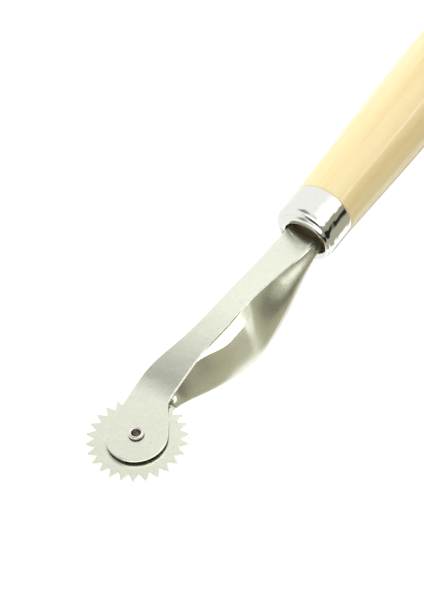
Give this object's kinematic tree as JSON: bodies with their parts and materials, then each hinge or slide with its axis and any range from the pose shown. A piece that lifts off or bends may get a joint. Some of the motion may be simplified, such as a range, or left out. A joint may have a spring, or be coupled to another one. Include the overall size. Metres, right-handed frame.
{
  "type": "serrated tracing wheel",
  "caption": "Hand-held serrated tracing and perforating wheel: a toothed disc running in a two-armed sheet-metal fork, with a ferrule and a turned wooden handle.",
  "frame": {"origin": "centre of the flat on the handle's butt, on the handle axis", "axes": "+X along the handle axis, out through the butt, away from the wheel; +Z parallel to the axle towards the straight arm; the tool lies on the bow of its bowed arm and on its handle"},
  "size_m": [0.1679, 0.02, 0.0176],
  "materials": {
    "wheel_steel": "satin nickel-plated",
    "rivet_steel": "satin nickel-plated",
    "washer_steel": "plain",
    "arm_steel": "satin nickel-plated, polished edges",
    "ferrule_chrome": "polished",
    "handle_wood": "clear lacquered pale hardwood"
  },
  "bodies": {
    "frame": {"handle": "handle_wood", "ferrule": "ferrule_chrome", "straight_arm": "arm_steel", "bowed_arm": "arm_steel", "axle_rivet": "rivet_steel", "washer_straight_side": "washer_steel", "washer_bowed_side": "washer_steel"},
    "wheel": {"wheel": "wheel_steel"}
  },
  "joints": [
    {"name": "wheel_spin", "type": "hinge", "parent": "frame", "child": "wheel", "pos_m": [-0.1579, -0.0013, 0.00185], "axis": [0, 0, 1], "continuous": true}
  ]
}
